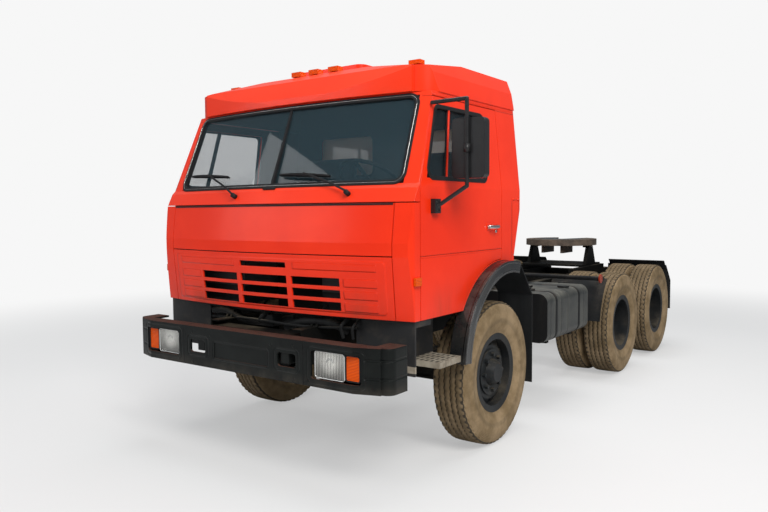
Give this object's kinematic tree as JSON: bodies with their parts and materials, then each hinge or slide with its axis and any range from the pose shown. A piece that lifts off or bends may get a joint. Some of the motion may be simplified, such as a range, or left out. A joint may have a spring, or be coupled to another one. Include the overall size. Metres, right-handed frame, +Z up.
{
  "type": "semi truck tractor unit",
  "caption": "Cab-over tractor unit with a tilting day cab, opening doors, steered front wheels, twin rear wheels on two drive axles and a rocking fifth wheel.",
  "frame": {"origin": "middle of the bounding box on the ground", "axes": "+Z up, -Y the way the truck drives, +X the truck's left"},
  "size_m": [2.705, 6.252, 2.788],
  "materials": {
    "cab_paint": "gloss",
    "tyre": "dusty",
    "wheel_paint": "dusty",
    "glass": "tinted",
    "bumper_paint": "satin",
    "guard_plastic": "satin",
    "lamp_chrome": "polished",
    "amber_lens": "gloss",
    "engine_iron": "oily",
    "tank_paint": "dusty",
    "cab_trim": "matte",
    "seat_cloth": "worn",
    "black_plastic": "satin",
    "greasy_steel": "greasy",
    "chassis_paint": "dusty"
  },
  "bodies": {
    "chassis": {"frame_rails": "chassis_paint", "crossmembers": "chassis_paint", "front_bumper": "bumper_paint", "headlamps": "lamp_chrome", "indicators": "amber_lens", "engine": "engine_iron", "front_axle": "chassis_paint", "drive_axles": "chassis_paint", "leaf_springs": "chassis_paint", "propeller_shafts": "chassis_paint", "fuel_tank": "tank_paint", "tank_brackets": "tank_paint", "air_tanks": "tank_paint", "battery_box": "tank_paint", "silencer": "tank_paint", "fifth_wheel_base": "chassis_paint", "mudguards": "guard_plastic", "cab_mounts": "chassis_paint"},
    "cab": {"cab_shell": "cab_paint", "roof": "cab_paint", "cab_glass": "glass", "front_panels": "cab_paint", "wings": "guard_plastic", "steps": "bumper_paint", "dashboard": "cab_trim", "seats": "seat_cloth", "steering_wheel": "black_plastic", "marker_lamps": "amber_lens"},
    "left_door": {"left_door": "cab_paint", "left_door_glass": "glass", "left_mirror": "black_plastic"},
    "right_door": {"right_door": "cab_paint", "right_door_glass": "glass"},
    "front_lid": {"front_lid": "cab_paint"},
    "roof_hatch": {"roof_hatch": "cab_paint"},
    "fifth_wheel": {"fifth_wheel_plate": "greasy_steel"},
    "left_knuckle": {"left_knuckle": "chassis_paint"},
    "right_knuckle": {"right_knuckle": "chassis_paint"},
    "front_left_wheel": {"front_left_tyre": "tyre", "front_left_wheel": "wheel_paint"},
    "front_right_wheel": {"front_right_tyre": "tyre", "front_right_wheel": "wheel_paint"},
    "middle_left_wheel": {"middle_left_tyres": "tyre", "middle_left_wheels": "wheel_paint"},
    "middle_right_wheel": {"middle_right_tyres": "tyre", "middle_right_wheels": "wheel_paint"},
    "rear_left_wheel": {"rear_left_tyres": "tyre", "rear_left_wheels": "wheel_paint"},
    "rear_right_wheel": {"rear_right_tyres": "tyre", "rear_right_wheels": "wheel_paint"}
  },
  "joints": [
    {"name": "cab_tilt", "type": "hinge", "parent": "chassis", "child": "cab", "pos_m": [-0.1125, -2.8, 0.99], "axis": [1, 0, 0], "range_deg": [0, 42]},
    {"name": "left_door_hinge", "type": "hinge", "parent": "cab", "child": "left_door", "pos_m": [1.0495, -2.72, 1.4], "axis": [0, 0, -1], "range_deg": [0, 70]},
    {"name": "right_door_hinge", "type": "hinge", "parent": "cab", "child": "right_door", "pos_m": [-1.2745, -2.72, 1.4], "axis": [0, 0, 1], "range_deg": [0, 70]},
    {"name": "front_lid_hinge", "type": "hinge", "parent": "cab", "child": "front_lid", "pos_m": [-0.1125, -2.899, 1.769], "axis": [-1, 0, 0], "range_deg": [0, 75]},
    {"name": "roof_hatch_hinge", "type": "hinge", "parent": "cab", "child": "roof_hatch", "pos_m": [-0.1125, -2.188, 2.742], "axis": [1, 0, 0], "range_deg": [0, 30]},
    {"name": "fifth_wheel_tilt", "type": "hinge", "parent": "chassis", "child": "fifth_wheel", "pos_m": [-0.1125, 2.43, 1.275], "axis": [1, 0, 0], "range_deg": [-15, 15]},
    {"name": "left_steer", "type": "hinge", "parent": "chassis", "child": "left_knuckle", "pos_m": [0.7675, -1.67, 0.525], "axis": [0, 0, 1], "range_deg": [-35, 35]},
    {"name": "right_steer", "type": "hinge", "parent": "chassis", "child": "right_knuckle", "pos_m": [-0.9925, -1.67, 0.525], "axis": [0, 0, 1], "range_deg": [-35, 35]},
    {"name": "front_left_roll", "type": "hinge", "parent": "left_knuckle", "child": "front_left_wheel", "pos_m": [0.9175, -1.67, 0.525], "axis": [1, 0, 0], "continuous": true},
    {"name": "front_right_roll", "type": "hinge", "parent": "right_knuckle", "child": "front_right_wheel", "pos_m": [-1.1425, -1.67, 0.525], "axis": [1, 0, 0], "continuous": true},
    {"name": "middle_left_roll", "type": "hinge", "parent": "chassis", "child": "middle_left_wheel", "pos_m": [0.9595, 1.17, 0.525], "axis": [1, 0, 0], "continuous": true},
    {"name": "middle_right_roll", "type": "hinge", "parent": "chassis", "child": "middle_right_wheel", "pos_m": [-1.1845, 1.17, 0.525], "axis": [1, 0, 0], "continuous": true},
    {"name": "rear_left_roll", "type": "hinge", "parent": "chassis", "child": "rear_left_wheel", "pos_m": [0.9595, 2.49, 0.525], "axis": [1, 0, 0], "continuous": true},
    {"name": "rear_right_roll", "type": "hinge", "parent": "chassis", "child": "rear_right_wheel", "pos_m": [-1.1845, 2.49, 0.525], "axis": [1, 0, 0], "continuous": true}
  ],
  "couplings": [
    {"joint": "right_steer", "follows": "left_steer", "ratio": 1}
  ]
}
